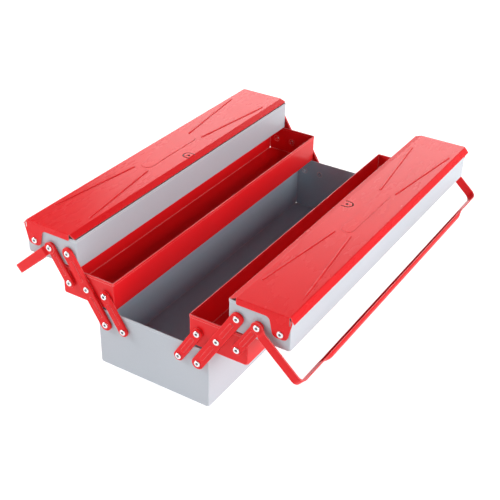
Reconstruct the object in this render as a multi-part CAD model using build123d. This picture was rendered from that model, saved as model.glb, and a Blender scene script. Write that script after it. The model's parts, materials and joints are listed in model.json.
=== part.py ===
from build123d import *
import math
import os

# Cantilever toolbox: a bottom box, two middle trays, two lidded top trays, links and bail handles.
#
# Millimetres. Origin at the centre of the bottom box's underside, +Z up, +Y along the box.
# The trays stand spread open, which is the rest pose. The unit on the +X side is modelled,
# and the unit on the -X side is its mirror image.

# Driving dimensions: sheet-metal boxes
LENGTH = 560.0
BOX_WIDTH = 184.0
BOX_HEIGHT = 94.0
BOX_SHEET = 0.9
TRAY_WIDTH = 89.0
TRAY_SHEET = 0.8
MID_TRAY_HEIGHT = 46.0
TOP_TRAY_HEIGHT = 46.0
HEM_OUT = 0.5
HEM_HEIGHT = 4.0
BEND_RADIUS = 1.6
HEM_SLIT_WIDTH = 0.8
HEM_SLIT_LENGTH = 12.0
HEM_SLIT_TOP_GAP = 1.2
CORNER_RELIEF_RADIUS = 2.0
BOSS_RADIUS = 6.2
BOSS_OUT = 0.5
DIMPLE_RADIUS = 5.4

# Driving dimensions: linkage
LINK_PITCH = 56.0
LINK_LEAN = 32.0
PIVOT_SPACING = 30.5
BOX_PIVOT_FROM_SIDE = 15.0
BOX_PIVOT_BELOW_RIM = 23.0
TRAY_PIVOT_ABOVE_FLOOR = 22.0
LONG_LINK_WIDTH = 18.0
SHORT_LINK_WIDTH = 15.0
LINK_SHEET = 1.2
LINK_DEPTH = 3.6
LINK_EDGE_RADIUS = 1.1
RIB_WIDTH = 5.6
RIB_HEIGHT = 0.8
RIB_END_FROM_PIVOT = 11.5

# Driving dimensions: lid
LID_SHEET = 0.8
LID_TOP = 195.5
LID_INNER_CREASE = 133.5
LID_OUTER_CREASE = 209.5
LID_INNER_EDGE = (123.9, 191.3)
LID_OUTER_EDGE = (215.8, 187.2)
LID_CREASE_RADIUS = 1.6
LID_END_GAP = 0.3
END_FLANGE_BOTTOM = 186.0
EAR_HALF_WIDTH = 16.2
EAR_FOOT_OUTER = 9.6
EAR_FOOT_INNER = 10.6
EAR_BELOW_HINGE = 6.8
EAR_SHOULDER_ABOVE_HINGE = 21.0
EAR_FOOT_RADIUS = 8.0
EAR_ROOT_RADIUS = 7.0
FLANGE_CORNER_RADIUS = 2.5
LID_CORNER_NOTCH_RADIUS = 1.0
LID_CORNER_NOTCH_SHIFT = 0.7
LID_CORNER_NOTCH_DEPTH = 12.0
BEAD_OUTER_Y = 228.0
BEAD_INNER_Y = 73.0
BEAD_OUTER_SPREAD = 31.5
BEAD_INNER_SPREAD = 12.5
BEAD_RADIUS = 2.4
BEAD_HEIGHT = 1.2
PLATE_LENGTH = 130.0
PLATE_WIDTH = 19.0
PLATE_HEIGHT = 0.7
LOCK_TAB_HALF_WIDTH = 9.2
LOCK_TAB_SLIT = 2.4
LOCK_TAB_STRAIGHT = 7.5
LOCK_TAB_START_X = 131.5
LOCK_TAB_Y = 6.5
LOCK_HOLE_RADIUS = 2.6
LOCK_HOLE_X = 138.0

# Driving dimensions: handle
HANDLE_STRIP = 14.0
HANDLE_THICKNESS = 1.5
HANDLE_REACH = 87.0
HANDLE_DROOP = 42.0
HANDLE_EYE_RADIUS = 8.5
HANDLE_JOGGLE = 2.5
JOGGLE_START = 7.5
JOGGLE_LENGTH = 4.0
JOGGLE_RADIUS = 2.5
HANDLE_CORNER = 9.0
GRIP_HALF_LENGTH = 213.0
GRIP_TAPER = 25.0
GRIP_RADIUS = 7.0
GRIP_END_RISE = 0.4
GRIP_CROWN_OUT = 6.5
GRIP_TAPER_STEPS = 5

# Driving dimensions: rivets and the gaps that let parts turn
SHANK_RADIUS = 2.5
TURN_CLEARANCE = 0.1
WALL_CLEARANCE = 0.02
SIDE_GAP = 0.3
HEAD_RADIUS = 4.6
HEAD_HEIGHT = 1.2
HEAD_BORE_RADIUS = 1.9
HEAD_BORE_DEPTH = 2.6
SHOULDER_RADIUS = 3.6
TAIL_RADIUS = 3.6
TAIL_HEIGHT = 0.9

# Distances of each layer from the middle of the box, along Y
END_WALL = LENGTH / 2
LINK_INSIDE = END_WALL + HEM_OUT + 0.4
LINK_FACE = LINK_INSIDE + LINK_DEPTH
LID_END_INSIDE = END_WALL + HEM_OUT + LID_END_GAP
LID_END_FACE = LID_END_INSIDE + LID_SHEET
EYE_INSIDE = LINK_FACE + SIDE_GAP
EYE_FACE = EYE_INSIDE + HANDLE_THICKNESS
ARM_MIDDLE = EYE_INSIDE + HANDLE_THICKNESS / 2 + HANDLE_JOGGLE

# Pivots of the +X unit, as (x, z)
STEP_X = LINK_PITCH * math.sin(math.radians(LINK_LEAN))
STEP_Z = LINK_PITCH * math.cos(math.radians(LINK_LEAN))
BOX_OUTER = (BOX_WIDTH / 2 - BOX_PIVOT_FROM_SIDE, BOX_HEIGHT - BOX_PIVOT_BELOW_RIM)
BOX_INNER = (BOX_OUTER[0] - PIVOT_SPACING, BOX_OUTER[1])
MID_INNER = (BOX_INNER[0] + STEP_X, BOX_INNER[1] + STEP_Z)
MID_CENTRE = (BOX_OUTER[0] + STEP_X, BOX_OUTER[1] + STEP_Z)
MID_OUTER = (MID_CENTRE[0] + PIVOT_SPACING, MID_CENTRE[1])
TOP_INNER = (MID_CENTRE[0] + STEP_X, MID_CENTRE[1] + STEP_Z)
TOP_CENTRE = (TOP_INNER[0] + PIVOT_SPACING, TOP_INNER[1])
LID_HINGE = (TOP_CENTRE[0] + PIVOT_SPACING, TOP_CENTRE[1])

ENDS = (("front", -1), ("back", 1))
SIDES = (("right", 1), ("left", -1))


def save(shape, node):
    """Write one node."""
    shape.label = node
    export_step(shape, os.path.join("parts", node + ".step"))


def to_side(shape, side):
    """The +X shape itself, or its mirror image on the -X side."""
    return shape if side > 0 else mirror(shape, about=Plane.YZ)


def across(radius, x, z, y_from, y_to):
    """A cylinder along Y between two distances."""
    low, high = min(y_from, y_to), max(y_from, y_to)
    return Pos(x, (low + high) / 2, z) * Rot(90, 0, 0) * Cylinder(radius, high - low)


def flat_on_xz(sketch, y_from, y_to):
    """Extrude a sketch drawn in x and z between two distances along Y."""
    low, high = min(y_from, y_to), max(y_from, y_to)
    return Pos(0, low, 0) * extrude(Plane.XZ * sketch, high - low, dir=(0, 1, 0))


def block(x_low, x_high, y_low, y_high, z_low, z_high):
    """A box between six limits."""
    middle = Pos((x_low + x_high) / 2, (y_low + y_high) / 2, (z_low + z_high) / 2)
    return middle * Box(x_high - x_low, y_high - y_low, z_high - z_low)


# Sheet-metal boxes

def rounded_tub(width, length, z_low, z_high, radius):
    """A closed block with rounded upright and bottom edges, open edges at the top left sharp."""
    tub = Pos(0, 0, (z_low + z_high) / 2) * Box(width, length, z_high - z_low)
    tub = fillet(tub.edges().filter_by(Axis.Z), radius)
    return fillet(tub.faces().sort_by(Axis.Z)[0].edges(), radius * 0.8)


def rim_hem(width, length, z_top):
    """The band that is folded back outside the rim, split at the corners."""
    outline = RectangleRounded(width + 2 * HEM_OUT, length + 2 * HEM_OUT, BEND_RADIUS + HEM_OUT)
    inside = RectangleRounded(width - 0.2, length - 0.2, BEND_RADIUS)
    band = Pos(0, 0, z_top - HEM_HEIGHT) * extrude(outline - inside, HEM_HEIGHT)
    slit_height = HEM_HEIGHT - HEM_SLIT_TOP_GAP
    corner_slit = Box(HEM_SLIT_WIDTH, HEM_SLIT_LENGTH, slit_height)
    slit_z = z_top - HEM_HEIGHT + slit_height / 2
    corner_inset = BEND_RADIUS * (math.sqrt(2) - 1)
    out = (HEM_SLIT_LENGTH / 2 - corner_inset) / math.sqrt(2)
    for x_sign in (-1, 1):
        for y_sign in (-1, 1):
            place = Pos(x_sign * (width / 2 + out), y_sign * (length / 2 + out), slit_z)
            band -= place * Rot(0, 0, -45 * x_sign * y_sign) * corner_slit
    return band


def boss(x, z, end_sign):
    """The raised ring of wall that a link or an ear bears on."""
    ring = across(BOSS_RADIUS, x, z, end_sign * (END_WALL - 0.2), end_sign * (END_WALL + BOSS_OUT))
    outer_edge = ring.faces().sort_by(Axis.Y)[-1 if end_sign > 0 else 0].edges()
    return fillet(outer_edge, BOSS_OUT * 0.8)


def open_tub(width, z_low, height, sheet, pivots):
    """An open box of folded sheet about x = 0, with a hemmed rim and pressed pivots in both ends."""
    z_top = z_low + height
    body = rounded_tub(width, LENGTH, z_low, z_top, BEND_RADIUS) + rim_hem(width, LENGTH, z_top)
    top_edges = body.faces().sort_by(Axis.Z)[-1].outer_wire().edges()
    body = fillet(top_edges, 0.8)
    inner_radius = BEND_RADIUS - sheet
    body -= rounded_tub(width - 2 * sheet, LENGTH - 2 * sheet, z_low + sheet, z_top + 5, inner_radius)
    relief = Sphere(CORNER_RELIEF_RADIUS)
    for x_sign in (-1, 1):
        for y_sign in (-1, 1):
            body -= Pos(x_sign * (width / 2 - 0.4), y_sign * (LENGTH / 2 - 0.4), z_low + 0.4) * relief
    dimple_floor = END_WALL + BOSS_OUT - sheet
    for x, z in pivots:
        for _, end_sign in ENDS:
            body += boss(x, z, end_sign)
            body -= across(DIMPLE_RADIUS, x, z, end_sign * (END_WALL - 5), end_sign * dimple_floor)
        body -= across(SHANK_RADIUS + WALL_CLEARANCE, x, z, -END_WALL - 1, END_WALL + 1)
    return body


def bottom_box():
    """The bottom compartment, with two link pivots per side in each end."""
    pivots = [(s * p[0], p[1]) for s in (-1, 1) for p in (BOX_INNER, BOX_OUTER)]
    return open_tub(BOX_WIDTH, 0, BOX_HEIGHT, BOX_SHEET, pivots)


def tray(centre, height):
    """A middle or top tray, with three pivots in each end about its centre pivot."""
    z_low = centre[1] - TRAY_PIVOT_ABOVE_FLOOR
    pivots = [(offset, centre[1]) for offset in (-PIVOT_SPACING, 0, PIVOT_SPACING)]
    return Pos(centre[0], 0, 0) * open_tub(TRAY_WIDTH, z_low, height, TRAY_SHEET, pivots)


# Links

def channel_link(width, pitch_count, end_sign):
    """A stamped channel strip along +Z with a pivot hole at each pitch, first hole at the origin."""
    reach = LINK_PITCH * pitch_count
    outline = Pos(0, reach / 2) * Rot(0, 0, 90) * SlotOverall(reach + width, width)
    inside_width = width - 2 * LINK_SHEET
    inside = Pos(0, reach / 2) * Rot(0, 0, 90) * SlotOverall(reach + inside_width, inside_width)
    link = flat_on_xz(outline, end_sign * LINK_INSIDE, end_sign * LINK_FACE)
    outer_face = link.faces().sort_by(Axis.Y)[-1 if end_sign > 0 else 0]
    link = fillet(outer_face.edges(), LINK_EDGE_RADIUS)
    web_inside = LINK_FACE - LINK_SHEET
    link -= flat_on_xz(inside, end_sign * (LINK_INSIDE - 1), end_sign * web_inside)
    rib_length = LINK_PITCH - 2 * RIB_END_FROM_PIVOT
    for i in range(pitch_count):
        rib_outline = Pos(0, LINK_PITCH * (i + 0.5)) * Rot(0, 0, 90) * SlotOverall(rib_length, RIB_WIDTH)
        rib = flat_on_xz(rib_outline, end_sign * (LINK_FACE - 0.2), end_sign * (LINK_FACE + RIB_HEIGHT))
        rib_top = rib.faces().sort_by(Axis.Y)[-1 if end_sign > 0 else 0]
        link += fillet(rib_top.edges(), RIB_HEIGHT * 0.7)
    for i in range(pitch_count + 1):
        hole_z = LINK_PITCH * i
        hole_to = end_sign * (LINK_FACE + 1)
        link -= across(SHANK_RADIUS + TURN_CLEARANCE, 0, hole_z, end_sign * LINK_INSIDE, hole_to)
    return link


def placed_link(width, pitch_count, foot, end_sign):
    """A link leaning outward from its foot pivot."""
    return Pos(foot[0], 0, foot[1]) * Rot(0, LINK_LEAN, 0) * channel_link(width, pitch_count, end_sign)


# Rivets

def rivet(pivot, end_sign, sheet, held_from, held_to):
    """A shouldered semi-tubular rivet: tail inside the wall, head outside what turns on it."""
    x, z = pivot
    wall_outside = END_WALL + BOSS_OUT
    wall_inside = wall_outside - sheet
    shank = across(SHANK_RADIUS, x, z, end_sign * (wall_inside - 0.1), end_sign * (held_to + 0.3))
    shoulder = across(SHOULDER_RADIUS, x, z, end_sign * wall_outside, end_sign * (held_from - 0.1))
    tail = across(TAIL_RADIUS, x, z, end_sign * (wall_inside - TAIL_HEIGHT), end_sign * wall_inside)
    tail_edge = tail.faces().sort_by(Axis.Y)[0 if end_sign > 0 else -1].edges()
    tail = fillet(tail_edge, TAIL_HEIGHT * 0.6)
    head_inside = held_to + 0.1
    head = across(HEAD_RADIUS, x, z, end_sign * head_inside, end_sign * (head_inside + HEAD_HEIGHT))
    head_edge = head.faces().sort_by(Axis.Y)[-1 if end_sign > 0 else 0].edges()
    head = fillet(head_edge, HEAD_HEIGHT * 0.7)
    bore_from = head_inside + HEAD_HEIGHT - HEAD_BORE_DEPTH
    bore = across(HEAD_BORE_RADIUS, x, z, end_sign * bore_from, end_sign * (head_inside + HEAD_HEIGHT + 1))
    return shank + shoulder + tail + head - bore


def rivets(pivots, sheet, held_from, held_to):
    """The same rivet at each pivot, at both ends of the box."""
    return [rivet(p, end_sign, sheet, held_from, held_to) for p in pivots for _, end_sign in ENDS]


# Lid

def lid_section():
    """The lid's cross-section: flat top and two bent-down long strips."""
    top = LID_TOP - LID_SHEET / 2
    return FilletPolyline(
        LID_INNER_EDGE,
        (LID_INNER_CREASE, top),
        (LID_OUTER_CREASE, top),
        LID_OUTER_EDGE,
        radius=LID_CREASE_RADIUS,
    )


def lid_sheet():
    """The lid's top with its strips, between the end flanges."""
    section = make_face(offset(lid_section(), LID_SHEET / 2, kind=Kind.ARC, side=Side.BOTH).edges())
    return flat_on_xz(section, -LID_END_INSIDE, LID_END_INSIDE)


def lid_end(end_sign):
    """An end flange with its hinge ear."""
    hx, hz = LID_HINGE
    outline = Polygon(
        (LID_INNER_CREASE, END_FLANGE_BOTTOM),
        (LID_INNER_CREASE, LID_TOP),
        (LID_OUTER_CREASE, LID_TOP),
        (hx + EAR_HALF_WIDTH, hz + EAR_SHOULDER_ABOVE_HINGE),
        (hx + EAR_FOOT_OUTER, hz - EAR_BELOW_HINGE),
        (hx - EAR_FOOT_INNER, hz - EAR_BELOW_HINGE),
        (hx - EAR_HALF_WIDTH, END_FLANGE_BOTTOM),
        align=None,
    )
    low_corners = outline.vertices().filter_by(lambda v: v.Y < hz)
    outline = fillet(low_corners, EAR_FOOT_RADIUS)
    inner_corner = outline.vertices().filter_by(lambda v: abs(v.X - hx + EAR_HALF_WIDTH) < 0.01)
    outline = fillet(inner_corner, EAR_ROOT_RADIUS)
    first_corner = outline.vertices().sort_by(lambda v: v.X + v.Y)[0:1]
    outline = fillet(first_corner, FLANGE_CORNER_RADIUS)
    return flat_on_xz(outline, end_sign * (LID_END_INSIDE - 0.1), end_sign * LID_END_FACE)


def capsule(x_from, y_from, x_to, y_to, z, radius):
    """A round bar with ball ends, lying level between two points."""
    length = math.hypot(x_to - x_from, y_to - y_from)
    angle = math.degrees(math.atan2(y_to - y_from, x_to - x_from))
    middle = Pos((x_from + x_to) / 2, (y_from + y_to) / 2, z) * Rot(0, 0, angle)
    bar = middle * Rot(0, 90, 0) * Cylinder(radius, length)
    return bar + Pos(x_from, y_from, z) * Sphere(radius) + Pos(x_to, y_to, z) * Sphere(radius)


def lid_beads():
    """Raised stiffening beads that run in towards the middle from each end."""
    centre = (LID_INNER_CREASE + LID_OUTER_CREASE) / 2
    axis_z = LID_TOP + BEAD_HEIGHT - BEAD_RADIUS
    beads = []
    for x_sign in (-1, 1):
        for y_sign in (-1, 1):
            bead = capsule(
                centre + x_sign * BEAD_OUTER_SPREAD,
                y_sign * BEAD_OUTER_Y,
                centre + x_sign * BEAD_INNER_SPREAD,
                y_sign * BEAD_INNER_Y,
                axis_z,
                BEAD_RADIUS,
            )
            above = block(centre - 50, centre + 50, -END_WALL, END_WALL, LID_TOP - 0.4, LID_TOP + 5)
            beads.append(bead & above)
    return beads


def lid_plate():
    """A plain raised panel in the middle of the lid."""
    centre = (LID_INNER_CREASE + LID_OUTER_CREASE) / 2
    outline = Pos(centre, 0) * Rot(0, 0, 90) * SlotOverall(PLATE_LENGTH, PLATE_WIDTH)
    plate = Pos(0, 0, LID_TOP - 0.3) * extrude(outline, PLATE_HEIGHT + 0.3)
    return fillet(plate.faces().sort_by(Axis.Z)[-1].edges(), PLATE_HEIGHT * 0.7)


def lock_slit():
    """The U-shaped cut that frees the padlock tab, and the tab's hole."""
    outer, inner = LOCK_TAB_HALF_WIDTH, LOCK_TAB_HALF_WIDTH - LOCK_TAB_SLIT
    straight = LOCK_TAB_STRAIGHT
    start = LOCK_TAB_START_X
    shape = Pos(start + straight / 2, 0) * Rectangle(straight, 2 * outer)
    shape += Pos(start + straight, 0) * Circle(outer)
    tongue = Pos(start + straight / 2, 0) * Rectangle(straight, 2 * inner)
    tongue += Pos(start + straight, 0) * Circle(inner)
    tongue += Pos(start - 5, 0) * Rectangle(10.0, 2 * outer)
    cut = shape - tongue + Pos(LOCK_HOLE_X, 0) * Circle(LOCK_HOLE_RADIUS)
    return Pos(0, LOCK_TAB_Y, LID_TOP - 5) * extrude(cut, 10)


def lid():
    """One lid: a folded sheet with ears, beads and a padlock tab."""
    shape = lid_sheet()
    for _, end_sign in ENDS:
        shape += lid_end(end_sign)
    end_edges = shape.edges().filter_by(Axis.X)
    end_edges = end_edges.filter_by(lambda e: abs(e.center().Z - LID_TOP) < 0.01)
    end_edges = end_edges.filter_by(lambda e: abs(abs(e.center().Y) - LID_END_FACE) < 0.01)
    shape = fillet(end_edges, LID_SHEET * 0.9)
    for bead in lid_beads():
        shape += bead
    shape += lid_plate()
    shape -= lock_slit()
    notch = Cylinder(LID_CORNER_NOTCH_RADIUS, 2 * LID_CORNER_NOTCH_DEPTH)
    inner_notch_x = LID_INNER_CREASE - LID_CORNER_NOTCH_SHIFT
    outer_notch_x = LID_OUTER_CREASE + LID_CORNER_NOTCH_SHIFT
    for _, end_sign in ENDS:
        for x in (inner_notch_x, outer_notch_x):
            shape -= Pos(x, end_sign * LID_END_INSIDE, LID_TOP) * notch
    shape -= across(SHANK_RADIUS + TURN_CLEARANCE, *LID_HINGE, -END_WALL - 5, END_WALL + 5)
    return shape


# Handle, drawn with its arms along +X from the pivots and then drooped

def strip_edge(shift):
    """One long edge of the strip, seen along its width, moved outward by shift."""
    eye = EYE_INSIDE + HANDLE_THICKNESS / 2 + shift
    arm = ARM_MIDDLE + shift
    back = shift * math.tan(math.atan2(HANDLE_JOGGLE, JOGGLE_LENGTH) / 2)
    return FilletPolyline(
        (0, eye),
        (JOGGLE_START - back, eye),
        (JOGGLE_START + JOGGLE_LENGTH - back, arm),
        (HANDLE_REACH + shift, arm),
        (HANDLE_REACH + shift, GRIP_HALF_LENGTH + GRIP_TAPER - 1.0),
        radius=[JOGGLE_RADIUS - shift, JOGGLE_RADIUS + shift, HANDLE_CORNER + shift],
    )


def handle_strip(end_sign):
    """An eye, a joggled arm and a bent corner, all of one flat strip."""
    outer = strip_edge(HANDLE_THICKNESS / 2)
    inner = strip_edge(-HANDLE_THICKNESS / 2)
    ends = [Line(outer @ 0, inner @ 0), Line(outer @ 1, inner @ 1)]
    outline = make_face([*outer.edges(), *inner.edges(), *ends])
    strip = Pos(0, 0, -HANDLE_STRIP / 2) * extrude(outline, HANDLE_STRIP, dir=(0, 0, 1))
    if end_sign < 0:
        strip = mirror(strip, about=Plane.XZ)
    eye = across(HANDLE_EYE_RADIUS, 0, 0, end_sign * EYE_INSIDE, end_sign * EYE_FACE)
    hole_from, hole_to = end_sign * (EYE_INSIDE - 1), end_sign * (EYE_FACE + 1)
    hole = across(SHANK_RADIUS + TURN_CLEARANCE, 0, 0, hole_from, hole_to)
    return strip + eye - hole


def grip_section(crown_out, rise, y):
    """A curved strip section across the grip at a place along Y; rise is its crown's height."""
    crown = HANDLE_REACH + crown_out
    edge = crown - rise
    turned_in = HANDLE_THICKNESS * rise / GRIP_RADIUS
    inner_half = GRIP_RADIUS - turned_in
    inner_edge = edge - HANDLE_THICKNESS + turned_in
    outer = ThreePointArc((edge, y, -GRIP_RADIUS), (crown, y, 0), (edge, y, GRIP_RADIUS))
    inner = ThreePointArc(
        (inner_edge, y, -inner_half),
        (crown - HANDLE_THICKNESS, y, 0),
        (inner_edge, y, inner_half),
    )
    return make_face([outer, inner, Line(outer @ 0, inner @ 0), Line(outer @ 1, inner @ 1)])


def grip():
    """The half-round channel grip with its tapered ends."""
    middle = grip_section(GRIP_CROWN_OUT, GRIP_RADIUS, -GRIP_HALF_LENGTH)
    shape = extrude(middle, 2 * GRIP_HALF_LENGTH, dir=(0, 1, 0))
    end_out = (HANDLE_THICKNESS + GRIP_END_RISE) / 2
    for _, end_sign in ENDS:
        sections = []
        for i in range(GRIP_TAPER_STEPS + 1):
            share = i / GRIP_TAPER_STEPS
            ease = (1 + math.cos(math.pi * share)) / 2
            out = end_out + (GRIP_CROWN_OUT - end_out) * ease
            rise = GRIP_END_RISE + (GRIP_RADIUS - GRIP_END_RISE) * ease
            sections.append(grip_section(out, rise, end_sign * (GRIP_HALF_LENGTH + GRIP_TAPER * share)))
        for near, far in zip(sections, sections[1:]):
            shape += loft([near, far])
    return shape


def handle():
    """One bail handle, drooped to where its arms rest."""
    shape = grip()
    for _, end_sign in ENDS:
        shape += handle_strip(end_sign)
    return Pos(TOP_CENTRE[0], 0, TOP_CENTRE[1]) * Rot(0, HANDLE_DROOP, 0) * shape


def build():
    """Every node of the toolbox."""
    os.makedirs("parts", exist_ok=True)
    web_inside = LINK_FACE - LINK_SHEET
    save(bottom_box(), "bottom_box")
    for side_name, side in SIDES:
        save(to_side(tray(MID_CENTRE, MID_TRAY_HEIGHT), side), "middle_tray_" + side_name)
        save(to_side(tray(TOP_CENTRE, TOP_TRAY_HEIGHT), side), "top_tray_" + side_name)
        save(to_side(lid(), side), "lid_" + side_name)
        save(to_side(handle(), side), "handle_" + side_name)
        for end_name, end_sign in ENDS:
            place = side_name + "_" + end_name
            long_link = placed_link(LONG_LINK_WIDTH, 2, BOX_OUTER, end_sign)
            lower_link = placed_link(SHORT_LINK_WIDTH, 1, BOX_INNER, end_sign)
            upper_link = placed_link(SHORT_LINK_WIDTH, 1, MID_OUTER, end_sign)
            save(to_side(long_link, side), "long_link_" + place)
            save(to_side(lower_link, side), "lower_link_" + place)
            save(to_side(upper_link, side), "upper_link_" + place)
        middle_pivots = [MID_INNER, MID_CENTRE, MID_OUTER]
        groups = {
            "box_rivets_": rivets([BOX_INNER, BOX_OUTER], BOX_SHEET, web_inside, LINK_FACE),
            "middle_tray_rivets_": rivets(middle_pivots, TRAY_SHEET, web_inside, LINK_FACE),
            "top_tray_rivets_": rivets([TOP_INNER], TRAY_SHEET, web_inside, LINK_FACE),
            "handle_rivets_": rivets([TOP_CENTRE], TRAY_SHEET, web_inside, EYE_FACE),
            "lid_hinge_rivets_": rivets([LID_HINGE], TRAY_SHEET, LID_END_INSIDE, LID_END_FACE),
        }
        for name, group in groups.items():
            save(Compound([to_side(one, side) for one in group]), name + side_name)


build()
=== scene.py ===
import json
import math

import bpy
from mathutils import Matrix, Vector


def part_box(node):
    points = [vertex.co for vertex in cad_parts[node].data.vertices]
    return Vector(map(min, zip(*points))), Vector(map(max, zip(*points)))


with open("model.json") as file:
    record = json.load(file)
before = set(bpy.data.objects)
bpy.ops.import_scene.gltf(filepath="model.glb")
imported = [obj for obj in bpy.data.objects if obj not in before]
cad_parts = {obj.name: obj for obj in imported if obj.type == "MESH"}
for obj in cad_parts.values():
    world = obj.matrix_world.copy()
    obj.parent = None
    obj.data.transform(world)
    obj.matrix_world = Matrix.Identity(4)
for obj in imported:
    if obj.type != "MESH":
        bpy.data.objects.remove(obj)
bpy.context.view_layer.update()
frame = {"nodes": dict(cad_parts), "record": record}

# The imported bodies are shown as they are. This script paints and plates them, and sets up the
# floor, the lights and the camera. Metres, +Z up.

# Colours, in linear light
RED = (0.80, 0.0100, 0.0140)
# Painted highlight: light pink where the rounded red edges catch the light
RED_EDGE_HIGHLIGHT = (0.95, 0.42, 0.42)
GREY = (0.50, 0.535, 0.585)
# Painted highlight: near white where the rounded grey edges catch the light
GREY_EDGE_HIGHLIGHT = (0.90, 0.91, 0.92)
# Painted light: the same grey paint, made bluer inside the bottom box to cancel the red light bounced
# in from the trays
GREY_INSIDE_LIGHT_TINT = (0.40, 0.56, 0.64)
BARE_STEEL = (0.42, 0.40, 0.39)
ZINC_BRIGHT = (0.86, 0.86, 0.87)
ZINC_DULL = (0.74, 0.75, 0.77)
# Painted shade for the hollows in the rivet heads
ZINC_HOLLOW_SHADE = (0.015, 0.014, 0.014)
FLOOR_DARKER = (0.63, 0.63, 0.63)
FLOOR_LIGHTER = (0.66, 0.66, 0.66)
WHITE = (1.0, 1.0, 1.0)

# Marks in the enamel, in features per metre
DRIFT_SCALE = 5.0
SHEET_WAVE_SCALE = 11.0
SMEAR_SCALE = 34.0
MOTTLE_SCALE = 330.0
PEEL_SCALE = 620.0
SPECK_SCALE = 900.0

# Marks in the plating and on the floor, in features per metre
ZINC_CLOUD_SCALE = 420.0
ZINC_LINE_SCALE = 2600.0
FLOOR_CLOUD_SCALE = 3.0

# How much each pattern is squeezed along X, Y and Z. Less than 1 draws it out.
SHEET_WAVE_STRETCH = (1.0, 0.35, 1.0)
SMEAR_STRETCH = (1.0, 0.28, 1.0)
ZINC_LINE_STRETCH = (1.0, 0.1, 1.0)

# Heights of the bumps
SHEET_WAVE_HEIGHT = 0.0004
PEEL_HEIGHT = 0.00004
ZINC_LINE_HEIGHT = 0.00002

# Where the painted light tint inside the bottom box starts and is full, in from the box's outer faces
# and up from its underside
WALL_START = 0.0009
WALL_FULL = 0.0012
UNDERSIDE_START = 0.0005
UNDERSIDE_FULL = 0.0008

# The cosine between the rounded and the true normal where the edge mask (painted edge highlight and
# nicks) starts, and where it is full
EDGE_START = 0.985
EDGE_FULL = 0.82
NICK_STRENGTH = 0.55
# How far the painted shade in the rivet hollows reaches
HOLLOW_SHADE_REACH = 0.0022

# Floor and world
FLOOR_HALF = 9.0
FLOOR_DROP = 0.0004
FLOOR_GLOW = 0.62
WORLD_STOPS = ((0.0, 0.80), (0.30, 0.70), (0.55, 0.10), (1.0, 0.02))

# Camera
CAMERA_AZIMUTH = math.radians(31.20)
CAMERA_ELEVATION = math.radians(31.82)
CAMERA_ROLL = math.radians(1.43)
CAMERA_DISTANCE = 1.548
CAMERA_TARGET = Vector((-0.01857, 0.0, 0.0669))
CAMERA_LENS = 71.16
CAMERA_SENSOR = 36.0
CAMERA_NEAR = 0.05


# Shader building blocks

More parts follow.
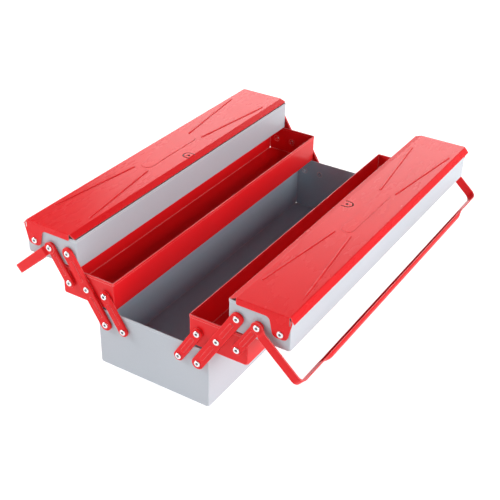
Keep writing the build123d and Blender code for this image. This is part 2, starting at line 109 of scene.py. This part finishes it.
class Shader:
    """A node tree with one Principled surface.

    A source is a node with the output that is read from it. Sockets take a source, a number or
    a colour.
    """

    def __init__(self, name):
        self.material = bpy.data.materials.new(name)
        self.material.use_nodes = True
        self.tree = self.material.node_tree
        self.tree.nodes.clear()
        out = self.add("ShaderNodeOutputMaterial")
        self.surface = self.add("ShaderNodeBsdfPrincipled")
        self.feed((self.surface, "BSDF"), out.inputs["Surface"])
        self.position = (self.add("ShaderNodeTexCoord"), "Object")

    def add(self, kind, **settings):
        node = self.tree.nodes.new(kind)
        for key, value in settings.items():
            setattr(node, key, value)
        return node

    def feed(self, thing, socket):
        """Give a socket a number, a colour or a source."""
        if isinstance(thing, (int, float)):
            socket.default_value = thing
        elif isinstance(thing[0], (int, float)):
            socket.default_value = (*thing, 1.0)
        else:
            node, output = thing
            self.tree.links.new(node.outputs[output], socket)

    def give(self, socket, thing):
        """Set one of the surface's sockets."""
        self.feed(thing, self.surface.inputs[socket])

    def noise(self, scale, detail=2.0, rough=0.5, stretch=None):
        """Noise in object space, in features per metre."""
        node = self.add("ShaderNodeTexNoise")
        node.inputs["Scale"].default_value = scale
        node.inputs["Detail"].default_value = detail
        node.inputs["Roughness"].default_value = rough
        position = self.position
        if stretch:
            mapping = self.add("ShaderNodeMapping")
            mapping.inputs["Scale"].default_value = stretch
            self.feed(position, mapping.inputs["Vector"])
            position = (mapping, "Vector")
        self.feed(position, node.inputs["Vector"])
        return (node, "Fac")

    def span(self, source, low, high, to_low=0.0, to_high=1.0):
        """A source's range from low to high, stretched to another range and clamped."""
        node = self.add("ShaderNodeMapRange")
        node.inputs["From Min"].default_value = low
        node.inputs["From Max"].default_value = high
        node.inputs["To Min"].default_value = to_low
        node.inputs["To Max"].default_value = to_high
        self.feed(source, node.inputs["Value"])
        return (node, "Result")

    def maths(self, operation, *things):
        """A math node on one or two sources or numbers."""
        node = self.add("ShaderNodeMath", operation=operation)
        for thing, socket in zip(things, node.inputs):
            self.feed(thing, socket)
        return (node, "Value")

    def mix(self, factor, a, b):
        """Mix two colours. Only one of the node's outputs is enabled, and it is read by its index."""
        node = self.add("ShaderNodeMix", data_type="RGBA")
        sockets = [socket for socket in node.inputs if socket.enabled]
        for thing, socket in zip((factor, a, b), sockets):
            self.feed(thing, socket)
        output = next(i for i, socket in enumerate(node.outputs) if socket.enabled)
        return (node, output)

    def edge_mask(self, radius):
        """1 along sharp edges, 0 on flats."""
        bevel = self.add("ShaderNodeBevel", samples=6)
        bevel.inputs["Radius"].default_value = radius
        geometry = self.add("ShaderNodeNewGeometry")
        dot = self.add("ShaderNodeVectorMath", operation="DOT_PRODUCT")
        self.feed((bevel, "Normal"), dot.inputs[0])
        self.feed((geometry, "Normal"), dot.inputs[1])
        return self.span((dot, "Value"), EDGE_START, EDGE_FULL)

    def inside_mask(self, name):
        """1 on the inside faces of a node that is an open box, 0 outside."""
        low, high = (Vector(corner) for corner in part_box(name))
        centre = (low + high) / 2
        half = (high - low) / 2
        split = self.add("ShaderNodeSeparateXYZ")
        self.feed(self.position, split.inputs["Vector"])
        inside = self.span((split, "Z"), low.z + UNDERSIDE_START, low.z + UNDERSIDE_FULL)
        for axis, middle, reach in (("X", centre.x, half.x), ("Y", centre.y, half.y)):
            offset = self.maths("SUBTRACT", (split, axis), middle)
            distance = self.maths("ABSOLUTE", offset)
            wall = self.span(distance, reach - WALL_START, reach - WALL_FULL)
            inside = self.maths("MULTIPLY", inside, wall)
        return inside

    def bumps(self, *layers):
        """Stack bump layers, each (source, strength, height)."""
        normal = None
        for source, strength, height in layers:
            bump = self.add("ShaderNodeBump")
            bump.inputs["Strength"].default_value = strength
            bump.inputs["Distance"].default_value = height
            self.feed(source, bump.inputs["Height"])
            if normal:
                self.feed(normal, bump.inputs["Normal"])
            normal = (bump, "Normal")
        self.give("Normal", normal)


def scaled(rgb, factor):
    return tuple(min(1.0, c * factor) for c in rgb)


# Paint and plating

def enamel(name, rgb, edge_highlight_rgb, edge_width, roughness, coat, specular, inside_light_tint_rgb=None):
    """Sprayed enamel on steel sheet: orange peel, slow colour drift, a painted highlight along the
    edges.
    """
    s = Shader(name)
    drift = s.span(s.noise(DRIFT_SCALE), 0.3, 0.7)
    mottle = s.span(s.noise(MOTTLE_SCALE, 3.0), 0.35, 0.7, 0.0, 0.12)
    smear = s.noise(SMEAR_SCALE, 4.0, 0.62, SMEAR_STRETCH)
    base = s.mix(drift, scaled(rgb, 0.955), scaled(rgb, 1.03))
    base = s.mix(mottle, base, scaled(rgb, 0.88))
    # Painted light tint inside the bottom box, against the red bounce light
    if inside_light_tint_rgb:
        base = s.mix(s.inside_mask("bottom_box"), base, inside_light_tint_rgb)
    edges = s.edge_mask(edge_width)
    # Painted highlight along the edges, standing in for light caught by the rounded edges; the nicks
    # to bare steel below are wear
    painted_edge_highlight = s.maths("MULTIPLY", edges, s.span(smear, 0.35, 0.6, 0.35, 0.85))
    base = s.mix(painted_edge_highlight, base, edge_highlight_rgb)
    nicks = s.maths("MULTIPLY", edges, s.span(s.noise(SPECK_SCALE, 1.0), 0.70, 0.76))
    base = s.mix(s.maths("MULTIPLY", nicks, NICK_STRENGTH), base, BARE_STEEL)
    s.give("Base Color", base)
    s.give("Roughness", s.span(smear, 0.25, 0.75, roughness - 0.015, roughness + 0.02))
    s.give("Coat Weight", coat)
    s.give("Coat Roughness", 0.12)
    s.give("Specular IOR Level", specular)
    wave = s.noise(SHEET_WAVE_SCALE, 1.0, stretch=SHEET_WAVE_STRETCH)
    peel = s.noise(PEEL_SCALE, 1.0)
    s.bumps((wave, 0.07, SHEET_WAVE_HEIGHT), (peel, 0.12, PEEL_HEIGHT))
    return s.material


def plated_steel(name):
    """Bright zinc plating, with fine turned marks and painted shade darkening the hollows in the
    heads.
    """
    s = Shader(name)
    cloud = s.noise(ZINC_CLOUD_SCALE, 3.0)
    # Painted shade: ambient occlusion darkens the hollows in the rivet heads
    hollow_shade = s.add("ShaderNodeAmbientOcclusion", samples=8, only_local=True)
    hollow_shade.inputs["Distance"].default_value = HOLLOW_SHADE_REACH
    base = s.mix(s.span(cloud, 0.3, 0.7), ZINC_BRIGHT, ZINC_DULL)
    base = s.mix(s.span((hollow_shade, "AO"), 0.30, 0.80), ZINC_HOLLOW_SHADE, base)
    s.give("Base Color", base)
    s.give("Metallic", 1.0)
    s.give("Roughness", s.span(cloud, 0.3, 0.75, 0.20, 0.34))
    lines = s.noise(ZINC_LINE_SCALE, stretch=ZINC_LINE_STRETCH)
    s.bumps((lines, 0.15, ZINC_LINE_HEIGHT))
    return s.material


def finishes():
    """The material for each slot in the record. The links and the handles share one paint."""
    strip = enamel(
        "red_enamel_strip", RED, RED_EDGE_HIGHLIGHT,
        edge_width=0.0012, roughness=0.30, coat=0.02, specular=0.17,
    )
    return {
        "box_paint": enamel(
            "grey_enamel_box", GREY, GREY_EDGE_HIGHLIGHT,
            edge_width=0.0020, roughness=0.42, coat=0.05, specular=0.35, inside_light_tint_rgb=GREY_INSIDE_LIGHT_TINT,
        ),
        "top_tray_paint": enamel(
            "grey_enamel_trays", GREY, GREY_EDGE_HIGHLIGHT,
            edge_width=0.0020, roughness=0.36, coat=0.05, specular=0.5,
        ),
        "middle_tray_paint": enamel(
            "red_enamel_trays", RED, RED_EDGE_HIGHLIGHT,
            edge_width=0.0022, roughness=0.34, coat=0.03, specular=0.22,
        ),
        "lid_paint": enamel(
            "red_enamel_lids", RED, RED_EDGE_HIGHLIGHT,
            edge_width=0.0009, roughness=0.27, coat=0.02, specular=0.17,
        ),
        "link_paint": strip,
        "handle_paint": strip,
        "rivets": plated_steel("zinc_plated_rivets"),
    }


def finish_parts():
    materials = finishes()
    for part in frame["record"]["subparts"]:
        mesh = frame["nodes"][part["node"]].data
        mesh.materials.clear()
        mesh.materials.append(materials[part["material_slot"]])


# Floor, light and camera

def floor_material():
    s = Shader("pale_floor")
    cloud = s.noise(FLOOR_CLOUD_SCALE)
    s.give("Base Color", s.mix(s.span(cloud, 0.3, 0.7), FLOOR_DARKER, FLOOR_LIGHTER))
    s.give("Roughness", 0.9)
    s.give("Emission Color", WHITE)
    s.give("Emission Strength", FLOOR_GLOW)
    return s.material


def make_floor():
    """A wide square, a little below the part so that the two never share a face."""
    mesh = bpy.data.meshes.new("floor")
    turns = ((-1, -1), (1, -1), (1, 1), (-1, 1))
    corners = [(x * FLOOR_HALF, y * FLOOR_HALF, -FLOOR_DROP) for x, y in turns]
    mesh.from_pydata(corners, [], [(0, 1, 2, 3)])
    mesh.materials.append(floor_material())
    floor = bpy.data.objects.new("floor", mesh)
    bpy.context.scene.collection.objects.link(floor)


def make_world():
    """White studio walls: bright round the horizon, dimmer overhead."""
    world = bpy.data.worlds.new("studio")
    bpy.context.scene.world = world
    world.use_nodes = True
    tree = world.node_tree
    background = tree.nodes["Background"]
    coord = tree.nodes.new("ShaderNodeTexCoord")
    split = tree.nodes.new("ShaderNodeSeparateXYZ")
    ramp = tree.nodes.new("ShaderNodeValToRGB")
    tree.links.new(coord.outputs["Generated"], split.inputs[0])
    tree.links.new(split.outputs["Z"], ramp.inputs["Fac"])
    tree.links.new(ramp.outputs["Color"], background.inputs["Color"])
    elements = ramp.color_ramp.elements
    while len(elements) < len(WORLD_STOPS):
        elements.new(0.5)
    for element, (place, level) in zip(elements, WORLD_STOPS):
        element.position = place
        element.color = (level, level, level, 1.0)
    background.inputs["Strength"].default_value = 1.0


def area_light(name, place, aim, size, watts):
    light = bpy.data.lights.new(name, "AREA")
    light.shape = "RECTANGLE"
    light.size, light.size_y = size
    light.energy = watts
    lamp = bpy.data.objects.new(name, light)
    bpy.context.scene.collection.objects.link(lamp)
    lamp.location = place
    lamp.rotation_euler = (Vector(aim) - Vector(place)).to_track_quat("-Z", "Y").to_euler()


def make_lights():
    """One light for the right-hand side, one for the left and one from behind."""
    area_light("key", (2.15, 0.20, 1.3), (0.0, 0.05, 0.1), (1.9, 1.0), 45.0)
    area_light("left", (-2.0, -0.7, 1.25), (0.0, 0.0, 0.1), (1.4, 0.8), 50.0)
    area_light("rim", (-1.15, 2.75, 1.50), (0.0, 0.0, 0.15), (2.4, 1.1), 32.0)


def make_camera():
    """A long lens, above the front end and to its right."""
    level = math.cos(CAMERA_ELEVATION)
    back = Vector((
        math.sin(CAMERA_AZIMUTH) * level,
        -math.cos(CAMERA_AZIMUTH) * level,
        math.sin(CAMERA_ELEVATION),
    ))
    side = Vector((0, 0, 1)).cross(back).normalized()
    up = back.cross(side)
    right = side * math.cos(CAMERA_ROLL) + up * math.sin(CAMERA_ROLL)
    top = up * math.cos(CAMERA_ROLL) - side * math.sin(CAMERA_ROLL)
    place = CAMERA_TARGET + back * CAMERA_DISTANCE
    camera = bpy.data.objects.new("camera", bpy.data.cameras.new("camera"))
    bpy.context.scene.collection.objects.link(camera)
    camera.data.sensor_width = CAMERA_SENSOR
    camera.data.lens = CAMERA_LENS
    camera.data.clip_start = CAMERA_NEAR
    camera.matrix_world = Matrix((
        (right.x, top.x, back.x, place.x),
        (right.y, top.y, back.y, place.y),
        (right.z, top.z, back.z, place.z),
        (0, 0, 0, 1),
    ))
    bpy.context.scene.camera = camera


finish_parts()
make_floor()
make_world()
make_lights()
make_camera()
bpy.context.scene.view_settings.view_transform = "Standard"
